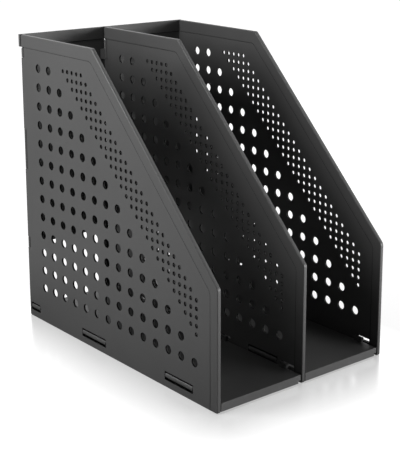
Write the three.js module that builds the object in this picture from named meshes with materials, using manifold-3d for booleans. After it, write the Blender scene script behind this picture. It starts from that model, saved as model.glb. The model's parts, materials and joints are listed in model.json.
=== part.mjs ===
// Two-compartment folding file holder, moulded in plastic.
// Millimetres. X runs across, Y to the back and Z up from the surface it stands on.
import * as THREE from 'three';
import { mergeVertices } from 'three/addons/utils/BufferGeometryUtils.js';
import Module from 'manifold-3d';

const wasm = await Module();
wasm.setup();

// Overall sizes
const compartmentPitch = 84;
const panelDepth = 261;
const panelHeight = 249;
const frontHeight = 95;
const slantAngle = 45;
const outlineCorner = 3;
const cornerSteps = 3;
const edgeBevel = 0.7;

// Side panels
const sideThickness = 3.3;
const fieldThickness = 1.8;
const leftRecess = 0.15;
const topBand = 10.4;
const slantRim = 9;
const frontRim = 8.5;
const rearRim = 10;
const bottomRim = 20;
const fieldCorner = 5;

// Perforation of the side panels
const largePitch = 16;
const largeHoleDiameter = 7.3;
const largeHoleSides = 8;
const largeFromRear = 26.3;
const largeFromTop = 25.7;
const largeFromSlant = 85;
const smallPitch = 6.62;
const smallHoleDiameter = 3.6;
const smallHoleSides = 5;
const smallFromTop = 23;
const smallFromSlant = 65.4;
const smallPerRow = 5;
const holesFromFront = 24;
const holesFromFloor = 24;

// Upright hinges between the back panels and the side panels
const hingeInset = 1.05;
const hingePinRadius = 0.7;
const knuckleRadius = 1.6;
const hingeClearance = 0.35;
const notchFrontGap = 1.45;
const neckLowAngle = 20;
const neckHighAngle = 130;
const knuckleGap = 0.5;
const topKnuckleGap = 1.2;
const topKnuckleLength = 7.4;
const middleKnuckleFromFloor = 133.4;
const middleKnuckleLength = 34.4;
const bottomKnuckleFromFloor = 62.9;
const bottomKnuckleLength = 9;
const rightKnuckleLength = 9;
const notchEndGap = 0.4;
const hingePinEmbed = 1;
const roundSides = 12;

// Back panels
const backThickness = 2.7;
const backStandoff = 0.8;
const backBandStep = 0.8;
const backEndGap = 0.3;
const lapEndGap = 0.4;
const lapBesideNeck = 0.2;
const backFloorGap = 0.5;
const backPostWidth = 7.8;
const backOpeningFromFloor = 5.6;
const backOpeningHeight = 58;
const backOpeningCorner = 3;

// Base plates and their hinge bars
const baseTopHeight = 7.5;
const baseThickness = 2.5;
const baseHingeGap = 0.35;
const baseFreeGap = 1.3;
const baseRearGap = 1.4;
const lipThickness = 2.5;
const lipFloorGap = 0.9;
const lipNotchWidth = 2.4;
const lipNotchHeight = 2.2;
const barRadius = 2.5;
const barAboveBase = 1.7;
const barEndGap = 0.5;
const barPinRadius = 0.75;
const barPinLength = 2.2;
const webThickness = 2.2;
const webBelowHinge = 1;
const webIntoWindow = 0.55;
const webOverlap = 2.6;

// Windows for the hinge bars
const windowBottomGap = 1.2;
const windowTopGap = 0.9;
const rearWindowFromRear = 2.3;
const rearWindowLength = 14.7;
const frontWindowFromFront = 28.8;
const longWindowPitch = 114;
const longWindowLength = 34.6;

// Catches on the free edge of each base plate
const frontCatchFromFront = 19;
const catchPitch = 72.7;
const rearCatchFromRear = 50;
const catchWidth = 8;
const catchThickness = 2;
const catchRise = 2.5;
const catchTipHeight = 2;
const catchTipDrop = 0.8;
const catchTipGap = 0.3;
const catchHoleRearGap = 0.6;
const catchHoleFrontGap = 5.6;
const catchHoleTopGap = 0.3;
const catchHoleBottomGap = 0.8;

const weldDistance = 1e-4;
const cutMargin = 1;

// Derived positions
const overallDepth = panelDepth + backStandoff + backThickness;
const frontY = -overallDepth / 2;
const rearY = frontY + panelDepth;
const halfSide = sideThickness / 2;
const slantRunPerDrop = 1 / Math.tan(THREE.MathUtils.degToRad(slantAngle));
const topLength = panelDepth - (panelHeight - frontHeight) * slantRunPerDrop;
const hingeY = rearY - hingeInset;
const backInnerY = hingeInset + backStandoff;
const backOuterY = backInnerY + backThickness;
const barHingeZ = baseTopHeight + barAboveBase;
const barHingeX = barRadius - halfSide;
const windowBottom = barHingeZ - barRadius - windowBottomGap;
const windowTop = barHingeZ + barRadius + windowTopGap;
const baseLeft = halfSide + baseHingeGap - barHingeX;
const baseRight = compartmentPitch - halfSide - baseFreeGap - barHingeX;
const catchTipX = compartmentPitch - halfSide - catchTipGap - barHingeX;
const catchTipTop = catchRise - catchTipDrop;

const plastic = { color: 0x333436, roughness: 0.52, metalness: 0 };

// Turns a profile drawn in Y and Z into one that is extruded along X.
const profileToWorld = new THREE.Matrix4().makeBasis(
  new THREE.Vector3(0, 1, 0),
  new THREE.Vector3(0, 0, 1),
  new THREE.Vector3(1, 0, 0),
);

function solid(geometry) {
  const bare = geometry.clone();
  bare.deleteAttribute('normal');
  bare.deleteAttribute('uv');
  const merged = mergeVertices(bare, weldDistance);
  return new wasm.Manifold(new wasm.Mesh({
    numProp: 3,
    vertProperties: Float32Array.from(merged.attributes.position.array),
    triVerts: Uint32Array.from(merged.index.array),
  }));
}

function namedMesh(name, body) {
  const result = body.getMesh();
  const geometry = new THREE.BufferGeometry();
  geometry.setAttribute('position', new THREE.BufferAttribute(result.vertProperties, 3));
  geometry.setIndex(new THREE.BufferAttribute(result.triVerts, 1));
  geometry.computeVertexNormals();
  const mesh = new THREE.Mesh(geometry, new THREE.MeshStandardMaterial(plastic));
  mesh.name = name;
  return mesh;
}

// A closed outline whose corners are rounded by the given radius.
function roundedOutline(points, radius) {
  const shape = new THREE.Shape();
  points.forEach((corner, index) => {
    const before = points[(index + points.length - 1) % points.length];
    const after = points[(index + 1) % points.length];
    const arrive = corner.clone().lerp(before, radius / corner.distanceTo(before));
    const leave = corner.clone().lerp(after, radius / corner.distanceTo(after));
    if (index === 0) {
      shape.moveTo(arrive.x, arrive.y);
    } else {
      shape.lineTo(arrive.x, arrive.y);
    }
    shape.quadraticCurveTo(corner.x, corner.y, leave.x, leave.y);
  });
  shape.closePath();
  return shape;
}

// A round hole drawn as a polygon that has the same area as the circle.
function roundHole(x, y, diameter, sides) {
  const shape = new THREE.Shape();
  const turn = 2 * Math.PI / sides;
  const radius = diameter / 2 * Math.sqrt(turn / Math.sin(turn));
  for (let side = 0; side < sides; side += 1) {
    const px = x + radius * Math.cos(side * turn);
    const py = y + radius * Math.sin(side * turn);
    if (side === 0) {
      shape.moveTo(px, py);
    } else {
      shape.lineTo(px, py);
    }
  }
  shape.closePath();
  return shape;
}

function extrudeAcross(shapes, xMin, xMax, bevel) {
  const options = {
    depth: xMax - xMin - 2 * bevel,
    curveSegments: cornerSteps,
    bevelEnabled: bevel > 0,
    bevelSize: bevel,
    bevelThickness: bevel,
    bevelOffset: -bevel,
    bevelSegments: 1,
  };
  const geometry = new THREE.ExtrudeGeometry(shapes, options);
  geometry.translate(0, 0, xMin + bevel);
  geometry.applyMatrix4(profileToWorld);
  return solid(geometry);
}

function extrudeUp(points, zMin, zMax) {
  const options = { depth: zMax - zMin, bevelEnabled: false };
  const geometry = new THREE.ExtrudeGeometry(new THREE.Shape(points), options);
  geometry.translate(0, 0, zMin);
  return solid(geometry);
}

function box(xMin, xMax, yMin, yMax, zMin, zMax) {
  const geometry = new THREE.BoxGeometry(xMax - xMin, yMax - yMin, zMax - zMin);
  geometry.translate((xMin + xMax) / 2, (yMin + yMax) / 2, (zMin + zMax) / 2);
  return solid(geometry);
}

function uprightRod(x, y, radius, zMin, zMax) {
  const geometry = new THREE.CylinderGeometry(radius, radius, zMax - zMin, roundSides);
  geometry.rotateX(Math.PI / 2);
  geometry.translate(x, y, (zMin + zMax) / 2);
  return solid(geometry);
}

function rodAlongDepth(x, z, radius, yMin, yMax) {
  const geometry = new THREE.CylinderGeometry(radius, radius, yMax - yMin, roundSides);
  geometry.translate(x, (yMin + yMax) / 2, z);
  return solid(geometry);
}

// Front edge of the slant at a given height, as a distance forwards from the rear edge.
function slantReach(height) {
  return topLength + (panelHeight - height) * slantRunPerDrop;
}

// Heights of the knuckles at the left end of a back panel, and of those at its right end.
const bandBottom = panelHeight - topBand;
const leftKnuckles = [
  { low: bandBottom - topKnuckleGap - topKnuckleLength, high: bandBottom - topKnuckleGap },
  { low: middleKnuckleFromFloor, high: middleKnuckleFromFloor + middleKnuckleLength },
  { low: bottomKnuckleFromFloor, high: bottomKnuckleFromFloor + bottomKnuckleLength },
];
const rightKnuckles = leftKnuckles.map((knuckle) => ({
  low: knuckle.low - knuckleGap - rightKnuckleLength,
  high: knuckle.low - knuckleGap,
}));

// Lengthwise spans of the windows, and places of the catches
const windowSpans = [
  { near: rearY - rearWindowFromRear - rearWindowLength, far: rearY - rearWindowFromRear },
];
for (let index = 0; index < 2; index += 1) {
  const near = frontY + frontWindowFromFront + index * longWindowPitch;
  windowSpans.push({ near, far: near + longWindowLength });
}
const catchPlaces = [
  frontY + frontCatchFromFront,
  frontY + frontCatchFromFront + catchPitch,
  rearY - rearCatchFromRear,
];

function perforation() {
  const holes = [];
  const lastReach = panelDepth - holesFromFront;
  for (let drop = largeFromTop; panelHeight - drop >= holesFromFloor; drop += largePitch) {
    const rowEnd = Math.min(lastReach, slantReach(panelHeight - drop) - largeFromSlant);
    for (let reach = largeFromRear; reach <= rowEnd; reach += largePitch) {
      holes.push(roundHole(rearY - reach, panelHeight - drop, largeHoleDiameter, largeHoleSides));
    }
  }
  for (let drop = smallFromTop; panelHeight - drop >= holesFromFloor; drop += smallPitch) {
    const rowStart = slantReach(panelHeight - drop) - smallFromSlant;
    for (let step = 0; step < smallPerRow; step += 1) {
      const reach = rowStart + step * smallPitch;
      if (reach <= lastReach) {
        holes.push(roundHole(rearY - reach, panelHeight - drop, smallHoleDiameter, smallHoleSides));
      }
    }
  }
  return holes;
}

function panelOutline() {
  return roundedOutline([
    new THREE.Vector2(frontY, 0),
    new THREE.Vector2(rearY, 0),
    new THREE.Vector2(rearY, panelHeight),
    new THREE.Vector2(rearY - topLength, panelHeight),
    new THREE.Vector2(frontY, frontHeight),
  ], outlineCorner);
}

// The perforated field, inside the band along the top and the rims at the front.
function fieldOutline(fieldRear, fieldBottom) {
  const inset = slantRim / Math.sin(THREE.MathUtils.degToRad(slantAngle));
  const fieldFront = frontY + frontRim;
  const bendY = rearY - slantReach(bandBottom) + inset;
  const lowBendHeight = bandBottom - (bendY - fieldFront) / slantRunPerDrop;
  return roundedOutline([
    new THREE.Vector2(fieldFront, fieldBottom),
    new THREE.Vector2(fieldRear, fieldBottom),
    new THREE.Vector2(fieldRear, bandBottom),
    new THREE.Vector2(bendY, bandBottom),
    new THREE.Vector2(fieldFront, lowBendHeight),
  ], fieldCorner);
}

function sidePanel(name, holdsBaseHinge, holdsCatches, holdsLeftEnd, holdsRightEnd) {
  let body = extrudeAcross(panelOutline(), -halfSide, halfSide, edgeBevel);
  const runOut = cutMargin + fieldCorner;
  const leftField = fieldOutline(rearY + runOut, -runOut);
  const rightField = fieldOutline(rearY - rearRim, bottomRim);
  const rightRecess = sideThickness - fieldThickness - leftRecess;
  body = body.subtract(extrudeAcross(leftField, -halfSide - cutMargin, -halfSide + leftRecess, 0));
  body = body.subtract(extrudeAcross(rightField, halfSide - rightRecess, halfSide + cutMargin, 0));
  body = body.subtract(extrudeAcross(perforation(), -halfSide - cutMargin, halfSide + cutMargin, 0));

  // Notches in the rear edge, each crossed by an upright pin
  const notchFront = hingeY - knuckleRadius - notchFrontGap;
  const cutLeft = -halfSide - cutMargin;
  const cutRight = halfSide + cutMargin;
  for (let index = 0; index < leftKnuckles.length; index += 1) {
    const left = leftKnuckles[index];
    const right = rightKnuckles[index];
    const leftTop = left.high + (index === 0 ? topKnuckleGap : notchEndGap);
    const low = (holdsRightEnd ? right.low : left.low) - notchEndGap;
    const high = holdsLeftEnd ? leftTop : right.high + notchEndGap;
    body = body.subtract(box(cutLeft, cutRight, notchFront, rearY + cutMargin, low, high));
    body = body.add(uprightRod(0, hingeY, hingePinRadius, low - hingePinEmbed, high + hingePinEmbed));
  }

  // Windows with a stub pin at each end for the hinge bars of a base plate
  if (holdsBaseHinge) {
    for (const span of windowSpans) {
      body = body.subtract(box(cutLeft, cutRight, span.near, span.far, windowBottom, windowTop));
      for (const [near, far] of [
        [span.near - hingePinEmbed, span.near + barPinLength],
        [span.far - barPinLength, span.far + hingePinEmbed],
      ]) {
        body = body.add(rodAlongDepth(barHingeX, barHingeZ, barPinRadius, near, far));
      }
    }
  }

  // Small holes opposite the catches of the next base plate
  if (holdsCatches) {
    const low = barHingeZ + catchTipTop - catchTipHeight - catchHoleBottomGap;
    const high = barHingeZ + catchTipTop + catchHoleTopGap;
    for (const place of catchPlaces) {
      const near = place - catchWidth / 2 - catchHoleFrontGap;
      const far = place + catchWidth / 2 + catchHoleRearGap;
      body = body.subtract(box(cutLeft, cutRight, near, far, low, high));
    }
  }
  return namedMesh(name, body);
}

// Knuckle and neck at one end of a back panel; side is 1 at the left end and -1 at the right end.
function knuckle(axisX, side, low, high) {
  const boreRadius = hingePinRadius + hingeClearance;
  const bodyEdge = halfSide + backEndGap;
  const neckEnd = bodyEdge + backThickness;
  const neckLow = THREE.MathUtils.degToRad(neckLowAngle);
  const neckHigh = THREE.MathUtils.degToRad(neckHighAngle);
  const points = [
    new THREE.Vector2(axisX + side * knuckleRadius * Math.cos(neckHigh), knuckleRadius * Math.sin(neckHigh)),
    new THREE.Vector2(axisX + side * bodyEdge, backOuterY),
    new THREE.Vector2(axisX + side * neckEnd, backOuterY),
    new THREE.Vector2(axisX + side * neckEnd, backInnerY + backBandStep),
    new THREE.Vector2(axisX + side * knuckleRadius * Math.cos(neckLow), knuckleRadius * Math.sin(neckLow)),
  ];
  if (side > 0) {
    points.reverse();
  }
  const ring = uprightRod(axisX, 0, knuckleRadius, low, high).add(extrudeUp(points, low, high));
  return ring.subtract(uprightRod(axisX, 0, boreRadius, low - cutMargin, high + cutMargin));
}

// Origin on the left hinge line, at floor height. The right end laps behind the next side panel,
// and leaves room there for the knuckles and the band of the next back panel, if there is one.
function backPanel(name, meetsNextBack) {
  const bodyLeft = halfSide + backEndGap;
  const lapLeft = compartmentPitch - halfSide - backEndGap;
  const lapRight = compartmentPitch + halfSide;
  const bandRight = meetsNextBack ? lapLeft : lapRight;
  const openingTop = backOpeningFromFloor + backOpeningHeight;
  const bodyInnerY = backInnerY + backBandStep;
  let body = box(bodyLeft, lapRight, bodyInnerY, backOuterY, backFloorGap, bandBottom);
  if (meetsNextBack) {
    for (const { low, high } of leftKnuckles) {
      const underBand = high + topKnuckleGap > bandBottom - lapEndGap;
      const roomTop = underBand ? bandBottom + cutMargin : high + lapEndGap;
      const roomLeft = compartmentPitch - lapBesideNeck;
      const room = box(roomLeft, lapRight + cutMargin, 0, backOuterY + cutMargin, low - lapEndGap, roomTop);
      body = body.subtract(room);
    }
  }
  body = body.add(box(bodyLeft, bandRight, bodyInnerY, backOuterY, bandBottom, panelHeight));
  body = body.add(box(-halfSide, bandRight, backInnerY, backOuterY, bandBottom, panelHeight));
  const opening = roundedOutline([
    new THREE.Vector2(backPostWidth, backOpeningFromFloor),
    new THREE.Vector2(compartmentPitch - backPostWidth, backOpeningFromFloor),
    new THREE.Vector2(compartmentPitch - backPostWidth, openingTop),
    new THREE.Vector2(backPostWidth, openingTop),
  ], backOpeningCorner);
  const cutter = new THREE.ExtrudeGeometry(opening, {
    depth: backOuterY + 2 * cutMargin,
    curveSegments: cornerSteps,
    bevelEnabled: false,
  });
  cutter.rotateX(Math.PI / 2);
  cutter.translate(0, backOuterY + cutMargin, 0);
  body = body.subtract(solid(cutter));
  for (let index = 0; index < leftKnuckles.length; index += 1) {
    body = body.add(knuckle(0, 1, leftKnuckles[index].low, leftKnuckles[index].high));
    body = body.add(knuckle(compartmentPitch, -1, rightKnuckles[index].low, rightKnuckles[index].high));
  }
  return namedMesh(name, body);
}

// Origin on the hinge line of the bars.
function basePlate(name) {
  const top = -barAboveBase;
  const bottom = top - baseThickness;
  const lipBottom = lipFloorGap - barHingeZ;
  let body = box(baseLeft, baseRight, frontY, rearY - baseRearGap, bottom, top);
  body = body.add(box(baseLeft, baseRight, frontY, frontY + lipThickness, lipBottom, top));
  body = body.subtract(box(
    baseRight - lipNotchWidth, baseRight + cutMargin,
    frontY - cutMargin, frontY + lipThickness + cutMargin,
    lipBottom - cutMargin, lipBottom + lipNotchHeight,
  ));
  for (const span of windowSpans) {
    const near = span.near + barEndGap;
    const far = span.far - barEndGap;
    const boreRadius = barPinRadius + hingeClearance;
    const boreDepth = barPinLength - barEndGap + hingeClearance;
    body = body.add(rodAlongDepth(0, 0, barRadius, near, far));
    body = body.add(box(
      baseLeft - webIntoWindow, baseLeft + webOverlap,
      near, far,
      -webBelowHinge - webThickness, -webBelowHinge,
    ));
    body = body.subtract(rodAlongDepth(0, 0, boreRadius, near - cutMargin, near + boreDepth));
    body = body.subtract(rodAlongDepth(0, 0, boreRadius, far - boreDepth, far + cutMargin));
  }
  for (const place of catchPlaces) {
    const near = place - catchWidth / 2;
    const far = place + catchWidth / 2;
    const tipBottom = catchTipTop - catchTipHeight;
    body = body.add(box(baseRight - catchThickness, baseRight, near, far, bottom, catchRise));
    body = body.add(box(baseRight - catchThickness, catchTipX, near, far, tipBottom, catchTipTop));
  }
  return namedMesh(name, body);
}

const group = new THREE.Group();
group.name = 'file_holder';

const leftSide = sidePanel('left_side_panel', true, false, true, false);
leftSide.position.x = -compartmentPitch;
const middleSide = sidePanel('middle_side_panel', true, true, true, true);
const rightSide = sidePanel('right_side_panel', false, true, false, true);
rightSide.position.x = compartmentPitch;
group.add(leftSide, middleSide, rightSide);

const compartments = [
  { label: 'left', hingeX: -compartmentPitch, meetsNextBack: true },
  { label: 'right', hingeX: 0, meetsNextBack: false },
];
for (const { label, hingeX, meetsNextBack } of compartments) {
  const compartment = new THREE.Group();
  compartment.name = label + '_compartment';
  compartment.position.x = hingeX;
  const back = backPanel(label + '_back_panel', meetsNextBack);
  back.position.y = hingeY;
  const base = basePlate(label + '_base_plate');
  base.position.set(barHingeX, 0, barHingeZ);
  compartment.add(back, base);
  group.add(compartment);
}

export default group;
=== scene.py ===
import json
import math

import bmesh
import bpy
from mathutils import Matrix, Vector


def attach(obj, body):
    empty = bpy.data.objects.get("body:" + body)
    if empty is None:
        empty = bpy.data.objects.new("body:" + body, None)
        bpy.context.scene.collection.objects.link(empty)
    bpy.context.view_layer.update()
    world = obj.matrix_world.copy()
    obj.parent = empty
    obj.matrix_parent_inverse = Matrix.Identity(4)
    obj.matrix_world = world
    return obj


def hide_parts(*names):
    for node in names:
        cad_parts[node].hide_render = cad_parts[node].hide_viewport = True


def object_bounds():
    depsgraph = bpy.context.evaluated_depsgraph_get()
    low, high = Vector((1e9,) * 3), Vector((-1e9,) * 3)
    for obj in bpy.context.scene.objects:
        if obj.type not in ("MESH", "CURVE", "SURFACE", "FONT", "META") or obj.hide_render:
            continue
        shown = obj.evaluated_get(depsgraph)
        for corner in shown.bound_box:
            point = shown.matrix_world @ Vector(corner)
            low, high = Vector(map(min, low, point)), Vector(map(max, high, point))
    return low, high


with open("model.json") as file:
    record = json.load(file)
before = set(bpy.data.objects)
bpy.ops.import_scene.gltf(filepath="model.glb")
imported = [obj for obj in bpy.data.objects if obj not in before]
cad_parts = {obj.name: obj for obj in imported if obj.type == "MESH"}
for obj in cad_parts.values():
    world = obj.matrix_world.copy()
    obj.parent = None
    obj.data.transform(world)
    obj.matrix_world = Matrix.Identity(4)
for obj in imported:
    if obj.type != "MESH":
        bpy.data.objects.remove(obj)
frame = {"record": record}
cad_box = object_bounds()

# Real sizes in millimetres
MM = 0.001
compartment_pitch = 84.0
panel_depth = 261.0
panel_height = 249.0
front_height = 95.0
side_thickness = 3.3
field_thickness = 1.8
left_recess = 0.15
top_band = 10.4
slant_rim = 9.0
front_rim = 8.5
rear_rim = 10.0
bottom_rim = 20.0
rim_arris = 0.55
hole_arris = (0.12, 0.3)
slot_corner = 0.5

large_pitch = 16.0
large_hole = 7.2
large_from_rear = 26.3
large_from_top = 25.7
large_from_slant = 85.0
small_pitch = 6.62
small_hole = 3.5
small_from_top = 23.0
small_from_slant = 65.4
small_per_row = 5
holes_from_front = 24.0
holes_from_floor = 24.0

gate_rows = [(2.5, (3.5, 9.5)), (9.5, (9.5,))]
gate_diameters = (2.7, 1.5)
gate_rise = 0.07

hinge_inset = 1.05
pin_radius = 0.7
pin_root = 0.8
knuckle_radius = 1.6
bore_radius = 1.05
neck_angles = (130, 20)
notch_front_gap = 1.45
knuckle_gap = 0.5
top_knuckle_gap = 1.2
top_knuckle_length = 7.4
middle_knuckle = (133.4, 34.4)
bottom_knuckle = (62.9, 9.0)
right_knuckle_length = 9.0
notch_end_gap = 0.4

back_thickness = 2.7
back_standoff = 0.8
back_band_step = 0.8
back_end_gap = 0.3
lap_end_gap = 0.4
lap_beside_neck = 0.2
back_floor_gap = 0.5
back_post = 7.8
back_opening = (5.6, 58.0)
back_opening_corner = 3.0
back_arris = 0.3

base_top = 7.5
base_thickness = 2.5
base_hinge_gap = 0.35
base_free_gap = 1.3
base_rear_gap = 1.4
base_arris = 0.45
lip_thickness = 2.5
lip_floor_gap = 0.9
lip_notch = (2.4, 2.2)
bar_radius = 2.5
bar_above_base = 1.7
bar_end_gap = 0.7
bar_pin_radius = 0.75
bar_pin_length = 2.2
bar_pin_gap = 0.35
bar_web_across = (-0.55, 2.6)
bar_web_below = (3.2, 1.0)

# Widths and levels of the near-black strips that paint shadow lines along the rim and under the back band
rim_line = 0.25
band_line = 0.5
line_rise = 0.02
line_root = 0.2

plate_tuck = 1.0
strip_root = 0.6
past_face = 1.0

window_bottom_gap = 1.2
window_top_gap = 0.9
rear_window = (2.3, 14.7)
front_window_from_front = 28.8
long_window_pitch = 114.0
long_window_length = 34.6

front_catch_from_front = 19.0
catch_pitch = 72.7
rear_catch_from_rear = 50.0
catch_width = 8.0
catch_thickness = 2.0
catch_rise = 2.5
catch_tip_height = 2.0
catch_tip_drop = 0.8
catch_tip_gap = 0.3
catch_hole_rear_gap = 0.6
catch_hole_front_gaps = (5.6, 2.0, 2.0)
catch_hole_top_gap = 0.3
catch_hole_bottom_gap = 0.8

# Derived places
half_side = side_thickness / 2
front_y = -(panel_depth + back_standoff + back_thickness) / 2
rear_y = front_y + panel_depth
top_length = panel_depth - (panel_height - front_height)
hinge_y = rear_y - hinge_inset
notch_front = hinge_y - knuckle_radius - notch_front_gap
gate_marks = [
    (large_from_rear + along * large_pitch, large_from_top + down * large_pitch)
    for along, rows in gate_rows
    for down in rows
]
back_inner = hinge_y + hinge_inset + back_standoff
back_outer = back_inner + back_thickness
band_bottom = panel_height - top_band
bar_z = base_top + bar_above_base
bar_x = bar_radius - half_side
catch_tip_top = bar_z + catch_rise - catch_tip_drop
window_low = bar_z - bar_radius - window_bottom_gap
window_high = bar_z + bar_radius + window_top_gap

left_knuckles = [
    bottom_knuckle,
    middle_knuckle,
    (band_bottom - top_knuckle_gap - top_knuckle_length, top_knuckle_length),
]
left_knuckles = [(low, low + length) for low, length in left_knuckles]
top_knuckle = len(left_knuckles) - 1
right_knuckles = [
    (low - knuckle_gap - right_knuckle_length, low - knuckle_gap)
    for low, high in left_knuckles
]

windows = [(front_y + front_window_from_front + i * long_window_pitch, long_window_length) for i in range(2)]
windows.append((rear_y - sum(rear_window), rear_window[1]))
windows = [(near, near + length) for near, length in windows]
catches = [front_y + front_catch_from_front, front_y + front_catch_from_front + catch_pitch]
catches.append(rear_y - rear_catch_from_rear)


# Outlines: lists of (across, up) points in millimetres
def signed_area(loop):
    return sum(a[0] * b[1] - b[0] * a[1] for a, b in zip(loop, loop[1:] + loop[:1])) / 2


def turned(loop, outer):
    """The loop, run so that the material lies on its left."""
    return loop if (signed_area(loop) > 0) == outer else loop[::-1]


def rounded(corners, steps=6):
    """A closed loop whose corners, given as (across, up, radius), are rounded."""
    loop = []
    for i, (x, y, radius) in enumerate(corners):
        here = Vector((x, y))
        if radius <= 0:
            loop.append((x, y))
            continue
        back = (Vector(corners[i - 1][:2]) - here).normalized()
        ahead = (Vector(corners[(i + 1) % len(corners)][:2]) - here).normalized()
        half_angle = math.acos(max(-1, min(1, back.dot(ahead)))) / 2
        centre = here + (back + ahead).normalized() * (radius / math.sin(half_angle))
        start = here + back * (radius / math.tan(half_angle)) - centre
        end = here + ahead * (radius / math.tan(half_angle)) - centre
        sweep = start.angle_signed(end)
        for k in range(steps + 1):
            turn = -sweep * k / steps
            spun = Matrix.Rotation(turn, 2) @ start
            loop.append(tuple(centre + spun))
    return loop


def circle(x, y, diameter, sides):
    turns = [2 * math.pi * k / sides for k in range(sides)]
    return [(x + diameter / 2 * math.cos(turn), y + diameter / 2 * math.sin(turn)) for turn in turns]


def rectangle(x_low, x_high, y_low, y_high, radius=0.0):
    corners = [(x_low, y_low), (x_high, y_low), (x_high, y_high), (x_low, y_high)]
    return rounded([(x, y, radius) for x, y in corners])


def moved_inwards(loop, distance):
    """Every point of the loop moved to the left of its path, mitred at the corners."""
    moved = []
    count = len(loop)
    for i in range(count):
        here = Vector(loop[i])
        arrive = (here - Vector(loop[i - 1])).normalized()
        leave = (Vector(loop[(i + 1) % count]) - here).normalized()
        normal = Vector((-arrive.y - leave.y, arrive.x + leave.x))
        if normal.length < 1e-6:
            normal = Vector((-arrive.y, arrive.x))
        normal.normalize()
        spread = max(0.35, normal.dot(Vector((-arrive.y, arrive.x))))
        moved.append(tuple(here + normal * (distance / spread)))
    return moved


# Where an outline goes: each gives the place of (across, up, out)
def along_x(x, y, out):
    return Vector((out, x, y)) * MM


def along_y(x, y, out):
    return Vector((x, out, y)) * MM


def along_z(x, y, out):
    return Vector((x, y, out)) * MM


def quarter_round(radius, steps):
    """Pairs of (inset, distance from the face) that round an arris, from the face to the side."""
    if radius == 0:
        return [(0.0, 0.0)]
    angles = [math.pi / 2 * k / steps for k in range(steps + 1)]
    return [(radius * (1 - math.sin(angle)), radius * (1 - math.cos(angle))) for angle in angles]


def add_plate(mesh, place, loops, low, high, arris, steps=2, inset=0.0, painted_shade=False):
    """A plate between two levels, with its outer loop first, then its holes.
    The arris is the rounding at the low and the high side, where 0 is square.
    The straight walls of the holes take the second material, near black with little shine: painted shade.
    A plate with painted shade takes it all over."""
    levels = [(inset + inward, low + rise) for inward, rise in quarter_round(arris[0], steps)]
    wall = len(levels) - 1
    levels += [(inset + inward, high - rise) for inward, rise in quarter_round(arris[1], steps)[::-1]]
    cap_edges = ([], [])
    for number, loop in enumerate(loops):
        loop = turned(loop, number == 0)
        rings = []
        for inward, level in levels:
            points = moved_inwards(loop, inward)
            rings.append([mesh.verts.new(place(x, y, level)) for x, y in points])
        for level, (lower, upper) in enumerate(zip(rings, rings[1:])):
            for i in range(len(loop)):
                face = mesh.faces.new((lower[i - 1], lower[i], upper[i], upper[i - 1]))
                face.smooth = True
                # Hole walls and plates with painted shade take the near-black second material.
                face.material_index = int(painted_shade or (number > 0 and level == wall))
        for edges, ring in zip(cap_edges, (rings[0], rings[-1])):
            edges += [mesh.edges.get((ring[i - 1], ring[i])) for i in range(len(ring))]
    for edges in cap_edges:
        filled = bmesh.ops.triangle_fill(mesh, edges=edges, use_beauty=True)
        for item in filled["geom"]:
            if isinstance(item, bmesh.types.BMFace):
                item.smooth = False
                item.material_index = int(painted_shade)


def add_rod(mesh, place, x, y, radius, low, high, sides=16):
    add_plate(mesh, place, [circle(x, y, 2 * radius, sides)], low, high, (radius * 0.15, radius * 0.15), 1)


def finished_object(name, mesh, sharp_angle=40):
    bmesh.ops.recalc_face_normals(mesh, faces=mesh.faces)
    for edge in mesh.edges:
        meets_flat = not all(face.smooth for face in edge.link_faces)
        edge.smooth = not meets_flat and edge.calc_face_angle(math.pi) < math.radians(sharp_angle)
    data = bpy.data.meshes.new(name)
    mesh.to_mesh(data)
    mesh.free()
    made = bpy.data.objects.new(name, data)
    bpy.context.scene.collection.objects.link(made)
    return made


def joined_solids(name, added, cut, arris):
    """One body from solids that are added together, less those that are cut, with rounded arrises."""
    parts = []
    for number, build in enumerate(added + cut):
        mesh = bmesh.new()
        build(mesh)
        parts.append(finished_object(name + "_part_%d" % number, mesh))
    body = parts[0]
    for number, part in enumerate(parts[1:], 1):
        joint = body.modifiers.new("solid_%d" % number, "BOOLEAN")
        joint.operation = "UNION" if number < len(added) else "DIFFERENCE"
        joint.solver = "EXACT"
        joint.object = part
    edges = body.modifiers.new("arris", "BEVEL")
    edges.width = arris * MM
    edges.segments = 2
    edges.limit_method = "ANGLE"
    edges.angle_limit = math.radians(35)
    edges.harden_normals = True
    bpy.context.view_layer.update()
    evaluated = body.evaluated_get(bpy.context.evaluated_depsgraph_get())
    data = bpy.data.meshes.new_from_object(evaluated)
    data.name = name
    for part in parts:
        spare = part.data
        bpy.data.objects.remove(part)
        bpy.data.meshes.remove(spare)
    made = bpy.data.objects.new(name, data)
    bpy.context.scene.collection.objects.link(made)
    return made


# A flat plate in the near-black second material, added to a finished piece: painted shade.
def add_painted_shade_plate(piece, place, loop, low, high):
    mesh = bmesh.new()
    mesh.from_mesh(piece.data)
    add_plate(mesh, place, [loop], low, high, (0.0, 0.0), painted_shade=True)
    mesh.to_mesh(piece.data)
    mesh.free()


def solid(place, loops, low, high):
    return lambda mesh: add_plate(mesh, place, loops, low, high, (0.0, 0.0))


# Side panels
def slant_reach(height):
    return top_length + panel_height - height


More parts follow.
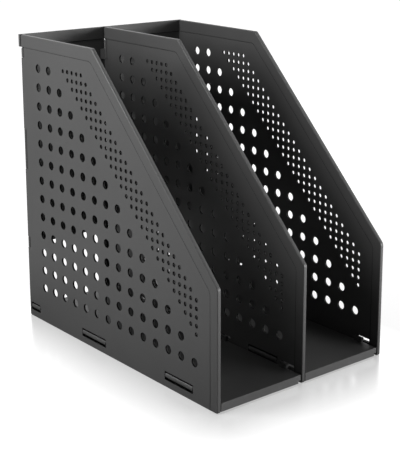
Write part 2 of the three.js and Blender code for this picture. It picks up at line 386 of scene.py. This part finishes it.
def perforation():
    holes = []
    last = panel_depth - holes_from_front
    rows = int((panel_height - holes_from_floor - large_from_top) / large_pitch) + 1
    for row in range(rows):
        drop = large_from_top + row * large_pitch
        reach = large_from_rear
        while reach <= min(last, slant_reach(panel_height - drop) - large_from_slant):
            holes.append(circle(rear_y - reach, panel_height - drop, large_hole, 28))
            reach += large_pitch
    rows = int((panel_height - holes_from_floor - small_from_top) / small_pitch) + 1
    for row in range(rows):
        drop = small_from_top + row * small_pitch
        for step in range(small_per_row):
            reach = slant_reach(panel_height - drop) - small_from_slant + step * small_pitch
            if reach <= last:
                holes.append(circle(rear_y - reach, panel_height - drop, small_hole, 16))
    return holes


field_front = front_y + front_rim
bend_y = rear_y - slant_reach(band_bottom) + slant_rim * math.sqrt(2)
low_bend = band_bottom - (bend_y - field_front)


def rim_outline():
    return rounded([
        (front_y, 0, 1.5),
        (field_front, 0, 0.2),
        (field_front, low_bend, 6),
        (bend_y, band_bottom, 6),
        (rear_y, band_bottom, 0.2),
        (rear_y, panel_height, 1.2),
        (rear_y - top_length, panel_height, 3),
        (front_y, front_height, 5),
    ])


def rim_shadow():
    """A thin strip laid on the field where it meets the rim, in the near-black second material: a painted shadow
    line.
    """
    ring = []
    for width in (0.0, rim_line):
        skew = width * (math.sqrt(2) - 1)
        ring.append(rounded([
            (field_front + width, 1.5, 0),
            (field_front + width, low_bend - skew, 6),
            (bend_y + skew, band_bottom - width, 6),
            (rear_y - 1, band_bottom - width, 0),
        ]))
    return ring[0] + ring[1][::-1]


def notched_edge(notches):
    """The bottom and rear edges of a side panel, from under the front rim to inside the top band."""
    corners = [(field_front - plate_tuck, 0.2, 0), (field_front - 0.3, 0, 0), (rear_y, 0, 1.5)]
    for low, high in notches:
        corners += [(rear_y, low, 0.3), (notch_front, low, 0.6)]
        if high < band_bottom - 0.1:
            corners += [(notch_front, high, 0.6), (rear_y, high, 0.3)]
    if notches[-1][1] < band_bottom - 0.1:
        corners += [(rear_y, band_bottom + 0.1, 0), (rear_y - 0.5, band_bottom + 0.1, 0)]
        corners.append((rear_y - 0.5, band_bottom + plate_tuck, 0))
    else:
        corners.append((notch_front, band_bottom + plate_tuck, 0))
    return corners


def field_outline(notches):
    """The thin field, which runs a little way into the rims and is cut by the hinge notches."""
    skew = plate_tuck * (math.sqrt(2) - 1)
    corners = notched_edge(notches)
    corners += [(bend_y - skew, band_bottom + plate_tuck, 0), (field_front - plate_tuck, low_bend + skew, 0)]
    return rounded(corners, 3)


def edge_outline(notches):
    """The thicker strip along the rear and bottom edges, which stands out on the right face only."""
    corners = notched_edge(notches)
    corners += [
        (rear_y - rear_rim, band_bottom + plate_tuck, 0),
        (rear_y - rear_rim, bottom_rim, 5),
        (field_front - plate_tuck, bottom_rim, 0),
    ]
    return rounded(corners, 4)


def side_panel(name, node, x, holds_base, holds_catches, holds_left_end, holds_right_end):
    mesh = bmesh.new()

    def place(across, up, out):
        return along_x(across, up, x + out)

    notches = []
    for index, (left, right) in enumerate(zip(left_knuckles, right_knuckles)):
        low = (right[0] if holds_right_end else left[0]) - notch_end_gap
        high = left[1] + (top_knuckle_gap if index == top_knuckle else notch_end_gap)
        if not holds_left_end:
            high = right[1] + notch_end_gap
        notches.append((low, high))
    openings = []
    if holds_base:
        openings += [rectangle(near, far, window_low, window_high, slot_corner) for near, far in windows]
    if holds_catches:
        low = catch_tip_top - catch_tip_height - catch_hole_bottom_gap
        high = catch_tip_top + catch_hole_top_gap
        for y, front_gap in zip(catches, catch_hole_front_gaps):
            near = y - catch_width / 2 - front_gap
            far = y + catch_width / 2 + catch_hole_rear_gap
            openings.append(rectangle(near, far, low, high, slot_corner))
    field_left = left_recess - half_side
    loops = [field_outline(notches)] + perforation() + openings
    add_plate(mesh, place, loops, field_left, field_left + field_thickness, hole_arris)
    loops = [edge_outline(notches)] + openings
    add_plate(mesh, place, loops, field_left + strip_root, half_side - 0.02, (0.0, hole_arris[1]), inset=0.03)
    add_plate(mesh, place, [rim_outline()], -half_side, half_side, (rim_arris, rim_arris), 3)
    # A near-black strip along the rim's inner edge: a painted shadow line.
    line_levels = (field_left - line_rise, field_left + line_root)
    add_plate(mesh, place, [rim_shadow()], *line_levels, (0.0, 0.0), painted_shade=True)
    for reach, drop in gate_marks:
        ring = [circle(rear_y - reach, panel_height - drop, diameter, 20) for diameter in gate_diameters]
        add_plate(mesh, place, ring, field_left - gate_rise, field_left + 0.5, (0.06, 0.0))
    for low, high in notches:
        add_rod(mesh, along_z, x, hinge_y, pin_radius, low - pin_root, high + pin_root)
    if holds_base:
        for near, far in windows:
            ends = ((near - pin_root, near + bar_pin_length), (far - bar_pin_length, far + pin_root))
            for start, end in ends:
                add_rod(mesh, along_y, x + bar_x, bar_z, bar_pin_radius, start, end)
    panel = finished_object(name, mesh)
    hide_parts(node)
    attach(panel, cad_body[node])
    return panel


# Back panels
def knuckle_solids(axis, side, low, high):
    """A knuckle and the neck that joins it to the plate. The side is -1 or 1, as the plate lies left or right."""
    edge = half_side + back_end_gap
    end = edge + back_thickness
    inner = back_inner + back_band_step
    rear_turn, front_turn = [math.radians(angle) for angle in neck_angles]

    def on_knuckle(turn):
        return (axis + side * knuckle_radius * math.cos(turn), hinge_y + knuckle_radius * math.sin(turn))

    neck = [
        on_knuckle(rear_turn),
        (axis + side * edge, back_outer),
        (axis + side * end, back_outer),
        (axis + side * end, inner),
        on_knuckle(front_turn),
    ]
    barrel = circle(axis, hinge_y, 2 * knuckle_radius, 32)
    return [solid(along_z, [shape], low, high) for shape in (barrel, neck)]


def back_panel(name, node, left_x, meets_next_back):
    """The right end laps behind the next side panel, apart from the room that the next back panel takes."""
    edge = half_side + back_end_gap
    left = left_x + edge
    lap_left = left_x + compartment_pitch - lap_beside_neck
    lap_right = left_x + compartment_pitch + half_side
    band_right = left_x + compartment_pitch - edge if meets_next_back else lap_right
    inner = back_inner + back_band_step
    low, height = back_opening
    corners = [(left, back_floor_gap, 0), (lap_right, back_floor_gap, 0)]
    if meets_next_back:
        for low_end, high_end in left_knuckles:
            corners += [(lap_right, low_end - lap_end_gap, 0), (lap_left, low_end - lap_end_gap, 0)]
            room_top = high_end + lap_end_gap
            if room_top < band_bottom - top_knuckle_gap:
                corners += [(lap_left, room_top, 0), (lap_right, room_top, 0)]
        corners += [(lap_left, band_bottom, 0), (band_right, band_bottom, 0)]
    corners += [(band_right, panel_height - 1, 0), (left, panel_height - 1, 0)]
    band = rectangle(left_x - half_side, band_right, band_bottom, panel_height)
    added = [
        solid(along_y, [rounded(corners)], inner, back_outer),
        solid(along_y, [band], back_inner, back_outer),
    ]
    posts = (left_x + back_post, left_x + compartment_pitch - back_post)
    opening = rectangle(*posts, low, low + height, back_opening_corner)
    cut = [solid(along_y, [opening], back_inner - past_face, back_outer + past_face)]
    for left_end, right_end in zip(left_knuckles, right_knuckles):
        added += knuckle_solids(left_x, 1, *left_end)
        added += knuckle_solids(left_x + compartment_pitch, -1, *right_end)
        for axis, (low, high) in ((left_x, left_end), (left_x + compartment_pitch, right_end)):
            bore = circle(axis, hinge_y, 2 * bore_radius, 24)
            cut.append(solid(along_z, [bore], low - past_face, high + past_face))
    back = joined_solids(name, added, cut, back_arris)
    # A near-black strip under the band on the inner face: a painted shadow line.
    line = rectangle(left_x + edge, band_right - 0.5, band_bottom - band_line, band_bottom)
    add_painted_shade_plate(back, along_y, line, inner - line_rise, inner + line_root)
    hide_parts(node)
    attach(back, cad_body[node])
    return back


# Base plates
def base_plate(name, node, left_x):
    """The plate with its lip, hinge bars and catches. The tops of the bars take the near-black second material,
    like the hole walls: painted shade.
    """
    axis = left_x + bar_x
    left = left_x + half_side + base_hinge_gap
    right = left_x + compartment_pitch - half_side - base_free_gap
    bottom = base_top - base_thickness
    tip = left_x + compartment_pitch - half_side - catch_tip_gap
    lip = [
        (left, lip_floor_gap), (right - lip_notch[0], lip_floor_gap),
        (right - lip_notch[0], lip_floor_gap + lip_notch[1]), (right, lip_floor_gap + lip_notch[1]),
        (right, base_top), (left, base_top),
    ]
    added = [
        solid(along_z, [rectangle(left, right, front_y, rear_y - base_rear_gap)], bottom, base_top),
        solid(along_y, [lip], front_y, front_y + lip_thickness),
    ]
    cut = []
    web_across = [left + reach for reach in bar_web_across]
    web_up = [bar_z - drop for drop in bar_web_below]
    web = rectangle(*web_across, *web_up)
    for near, far in windows:
        near, far = near + bar_end_gap, far - bar_end_gap
        added.append(solid(along_y, [circle(axis, bar_z, 2 * bar_radius, 40)], near, far))
        added.append(solid(along_y, [web], near, far))
        bore = circle(axis, bar_z, 2 * (bar_pin_radius + bar_pin_gap), 20)
        depth = bar_pin_length - bar_end_gap + bar_pin_gap
        cut.append(solid(along_y, [bore], near - past_face, near + depth))
        cut.append(solid(along_y, [bore], far - depth, far + past_face))
    for y in catches:
        near, far = y - catch_width / 2, y + catch_width / 2
        arm = [
            (right - catch_thickness, bottom), (right, bottom), (right, catch_tip_top - catch_tip_height),
            (tip, catch_tip_top - catch_tip_height), (tip, catch_tip_top),
            (right, bar_z + catch_rise), (right - catch_thickness, bar_z + catch_rise),
        ]
        added.append(solid(along_y, [arm], near, far))
    base = joined_solids(name, added, cut, base_arris)
    bar_top = (bar_z + bar_radius / 2) * MM
    facing_up = 0.75
    # The upward faces on top of the bars take the near-black second material: a painted shadow line above the
    # bars.
    for face in base.data.polygons:
        if face.normal.z > facing_up and face.center.z > bar_top and face.center.x < left * MM:
            face.material_index = 1
    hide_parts(node)
    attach(base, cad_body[node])
    return base


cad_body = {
    node: body
    for body, nodes in frame["record"]["behaviour"]["bodies"].items()
    for node in nodes
}

pieces = [
    side_panel("left_side", "left_side_panel", -compartment_pitch, True, False, True, False),
    side_panel("middle_side", "middle_side_panel", 0, True, True, True, True),
    side_panel("right_side", "right_side_panel", compartment_pitch, False, True, False, True),
    back_panel("left_back", "left_back_panel", -compartment_pitch, True),
    back_panel("right_back", "right_back_panel", 0, False),
    base_plate("left_base", "left_base_plate", -compartment_pitch),
    base_plate("right_base", "right_base_plate", 0),
]


# Materials
class Shade:
    """A node socket that takes part in Python expressions."""

    def __init__(self, tree, socket=None):
        self.tree = tree
        self.socket = socket

    def node(self, kind, settings, inputs, output=0):
        made = self.tree.nodes.new(kind)
        for name, value in settings.items():
            if name == "stops":
                ramp = made.color_ramp.elements
                while len(ramp) < len(value):
                    ramp.new(1.0)
                for stop, (position, level) in zip(ramp, value):
                    stop.position = position
                    stop.color = (level, level, level, 1)
            else:
                setattr(made, name, value)
        for name, value in inputs.items():
            if isinstance(value, Shade):
                self.tree.links.new(value.socket, made.inputs[name])
            else:
                made.inputs[name].default_value = value
        return Shade(self.tree, made.outputs[output])

    def maths(self, operation, first, second):
        return self.node("ShaderNodeMath", {"operation": operation}, {0: first, 1: second})

    def __add__(self, other):
        return self.maths("ADD", self, other)

    __radd__ = __add__

    def __mul__(self, other):
        return self.maths("MULTIPLY", self, other)

    __rmul__ = __mul__

    def __sub__(self, other):
        return self.maths("SUBTRACT", self, other)

    def __rsub__(self, other):
        return self.maths("SUBTRACT", other, self)


def new_material(name):
    material = bpy.data.materials.new(name)
    material.use_nodes = True
    material.node_tree.nodes.clear()
    return material, Shade(material.node_tree)


def moulded_plastic(name, offset, dark, light, shine):
    material, start = new_material(name)
    place = start.node("ShaderNodeTexCoord", {}, {}, "Object")
    shift = (offset, offset * 0.7, -offset)
    place = start.node("ShaderNodeVectorMath", {"operation": "ADD"}, {0: place, 1: shift})
    cloud = start.node("ShaderNodeTexNoise", {}, {"Vector": place, "Scale": 22.0, "Detail": 3.0}, "Fac")
    grain = start.node("ShaderNodeTexNoise", {}, {"Vector": place, "Scale": 2600.0, "Detail": 2.0}, "Fac")
    speck = start.node("ShaderNodeTexVoronoi", {}, {"Vector": place, "Scale": 900.0}, "Distance")
    colour = start.node(
        "ShaderNodeMix", {"data_type": "RGBA"},
        {0: cloud * 0.6 + grain * 0.4, 6: (dark, dark, dark, 1), 7: (light, light, light, 1)}, 2,
    )
    roughness = 0.41 + 0.09 * cloud + 0.09 * grain
    bump = start.node(
        "ShaderNodeBump", {}, {"Strength": 0.25, "Distance": 0.00008, "Height": grain * 0.7 + speck * 0.3}, 0,
    )
    shader = start.node(
        "ShaderNodeBsdfPrincipled", {},
        {"Base Color": colour, "Roughness": roughness, "Normal": bump, "Specular IOR Level": shine},
    )
    output = start.tree.nodes.new("ShaderNodeOutputMaterial")
    start.tree.links.new(shader.socket, output.inputs["Surface"])
    return material


# Dark colour, light colour and shine
satin = (0.030, 0.047, 0.5)
# The second material is near black with little shine: painted shade, laid on the hole walls, the shadow lines and
# the tops of the hinge bars.
painted_shade = (0.0006, 0.0012, 0.03)
for number, piece in enumerate(pieces):
    offset = 0.37 * number
    piece.data.materials.append(moulded_plastic("plastic_of_" + piece.name, offset, *satin))
    piece.data.materials.append(moulded_plastic("hole_walls_of_" + piece.name, offset, *painted_shade))

# Floor and surroundings. The bright backdrop stands behind the object as the photograph shows it.
heading = math.radians(40.30)
floor_mesh = bmesh.new()
bmesh.ops.create_grid(floor_mesh, x_segments=8, y_segments=8, size=6)
floor_data = bpy.data.meshes.new("floor")
floor_mesh.to_mesh(floor_data)
floor_mesh.free()
floor = bpy.data.objects.new("floor", floor_data)
bpy.context.scene.collection.objects.link(floor)

to_backdrop = (math.sin(heading), math.cos(heading), 0.0)
material, start = new_material("pale_floor")
mirrored = start.node("ShaderNodeLightPath", {}, {}, "Is Glossy Ray")
rays = start.maths("MAXIMUM", start.node("ShaderNodeLightPath", {}, {}, "Is Camera Ray"), mirrored)
ground = start.node("ShaderNodeTexCoord", {}, {}, "Object")
beyond = start.node("ShaderNodeVectorMath", {"operation": "ABSOLUTE"}, {0: ground})
footprint = tuple((high - low) / 2 for low, high in zip(*cad_box))[:2] + (0.0,)
beyond = start.node("ShaderNodeVectorMath", {"operation": "SUBTRACT"}, {0: beyond, 1: footprint})
beyond = start.node("ShaderNodeVectorMath", {"operation": "MAXIMUM"}, {0: beyond, 1: (0, 0, 0)})
beyond = start.node("ShaderNodeVectorMath", {"operation": "LENGTH"}, {0: beyond}, "Value")
polish_reach = 0.052
polish = 0.46 * start.maths("MAXIMUM", 1 - beyond * (1 / polish_reach), 0.0)
# The floor's glow carries painted shade near the object: it is darker towards the footprint for camera rays. For
# mirrored rays it is darker still near the footprint and dimmer on the camera side, which darkens what the panels
# reflect low down.
seen_stops = [(0.0, 0.8), (0.4, 1.0)]
mirrored_stops = [(0.0, 0.05), (0.05, 0.12), (0.1, 0.5), (0.17, 1.0)]
ahead_stops = [(0.2, 0.1), (0.42, 1.0), (0.7, 0.6)]
seen_glow = start.node("ShaderNodeValToRGB", {"stops": seen_stops}, {"Fac": beyond})
mirrored_glow = start.node("ShaderNodeValToRGB", {"stops": mirrored_stops}, {"Fac": beyond})
ahead = start.node("ShaderNodeVectorMath", {"operation": "DOT_PRODUCT"}, {0: ground, 1: to_backdrop}, "Value")
mirrored_glow *= start.node("ShaderNodeValToRGB", {"stops": ahead_stops}, {"Fac": ahead + 0.5})
glow = start.node("ShaderNodeMix", {"data_type": "RGBA"}, {0: mirrored, 6: seen_glow, 7: mirrored_glow}, 2)
plain = start.node("ShaderNodeBsdfPrincipled", {}, {"Base Color": (0.5, 0.5, 0.5, 1), "Roughness": 0.4})
white = start.node(
    "ShaderNodeBsdfPrincipled", {},
    {"Base Color": (0.25, 0.25, 0.25, 1), "Roughness": 0.9, "Emission Color": glow, "Emission Strength": 1.0},
)
gloss = start.node("ShaderNodeBsdfAnisotropic", {}, {"Color": (1, 1, 1, 1), "Roughness": 0.2})
seen = start.node("ShaderNodeMixShader", {}, {0: polish, 1: white, 2: gloss})
seen = start.node("ShaderNodeMixShader", {}, {0: mirrored, 1: seen, 2: white})
mixed = start.node("ShaderNodeMixShader", {}, {0: rays, 1: plain, 2: seen})
output = start.tree.nodes.new("ShaderNodeOutputMaterial")
start.tree.links.new(mixed.socket, output.inputs["Surface"])
floor_data.materials.append(material)

world = bpy.data.worlds.new("studio")
bpy.context.scene.world = world
world.use_nodes = True
world.node_tree.nodes.clear()
start = Shade(world.node_tree)
camera_ray = start.node("ShaderNodeLightPath", {}, {}, "Is Camera Ray")
glossy_ray = start.node("ShaderNodeLightPath", {}, {}, "Is Glossy Ray")
soft = start.node("ShaderNodeBackground", {}, {"Color": (1, 1, 1, 1), "Strength": 0.05})
white = start.node("ShaderNodeBackground", {}, {"Color": (1, 1, 1, 1), "Strength": 1.0})
ahead = start.node("ShaderNodeTexCoord", {}, {}, "Generated")
ahead = start.node("ShaderNodeVectorMath", {"operation": "DOT_PRODUCT"}, {0: ahead, 1: to_backdrop}, "Value")
backdrop = start.node("ShaderNodeMapRange", {}, {"Value": ahead, 1: -0.2, 2: 0.3})
dim = start.node("ShaderNodeBackground", {}, {"Color": (1, 1, 1, 1), "Strength": 0.1})
mixed = start.node("ShaderNodeMixShader", {}, {0: backdrop, 1: dim, 2: white})
mixed = start.node("ShaderNodeMixShader", {}, {0: glossy_ray, 1: soft, 2: mixed})
mixed = start.node("ShaderNodeMixShader", {}, {0: camera_ray, 1: mixed, 2: white})
output = start.tree.nodes.new("ShaderNodeOutputWorld")
start.tree.links.new(mixed.socket, output.inputs["Surface"])


def soft_lamp(name, place, target, width, height, power):
    data = bpy.data.lights.new(name, "AREA")
    data.shape = "RECTANGLE"
    data.size, data.size_y = width, height
    data.energy = power
    lamp = bpy.data.objects.new(name, data)
    lamp.location = place
    lamp.rotation_euler = (Vector(target) - Vector(place)).to_track_quat("-Z", "Y").to_euler()
    bpy.context.scene.collection.objects.link(lamp)


middle = (0, 0, 0.12)
soft_lamp("upper_left", (-0.42, 0.08, 0.42), (-0.08, -0.05, 0.17), 0.25, 0.25, 3.6)
soft_lamp("front_right_fill", (0.80, -1.25, 0.26), middle, 0.9, 0.4, 27)
soft_lamp("upper_right_fill", (0.9, -0.3, 1.15), middle, 0.5, 0.5, 2.1)
soft_lamp("rear_rim", (0.95, 1.15, 0.62), middle, 1.5, 0.7, 3.2)

# Camera, set from the place, direction and focal length found for the photograph
image_width, image_height = 400, 454
focal_pixels = 1176.0
centre_pixel = (235.0, 150.0)
camera_place = Vector((-584.3, -738.6, 378.7)) * MM
drop, roll = math.radians(13.07), math.radians(0.26)
camera_data = bpy.data.cameras.new("camera")
camera_data.sensor_width = 36
camera_data.lens = focal_pixels * camera_data.sensor_width / image_height
camera_data.shift_x = -(centre_pixel[0] - image_width / 2) / image_height
camera_data.shift_y = -(image_height / 2 - centre_pixel[1]) / image_height
camera_data.clip_start, camera_data.clip_end = 0.05, 50
camera = bpy.data.objects.new("camera", camera_data)
camera.location = camera_place
look = Vector((math.sin(heading) * math.cos(drop), math.cos(heading) * math.cos(drop), -math.sin(drop)))
camera.rotation_euler = (look.to_track_quat("-Z", "Y").to_matrix() @ Matrix.Rotation(roll, 3, "Z")).to_euler()
bpy.context.scene.collection.objects.link(camera)
bpy.context.scene.camera = camera

bpy.context.scene.view_settings.view_transform = "Standard"
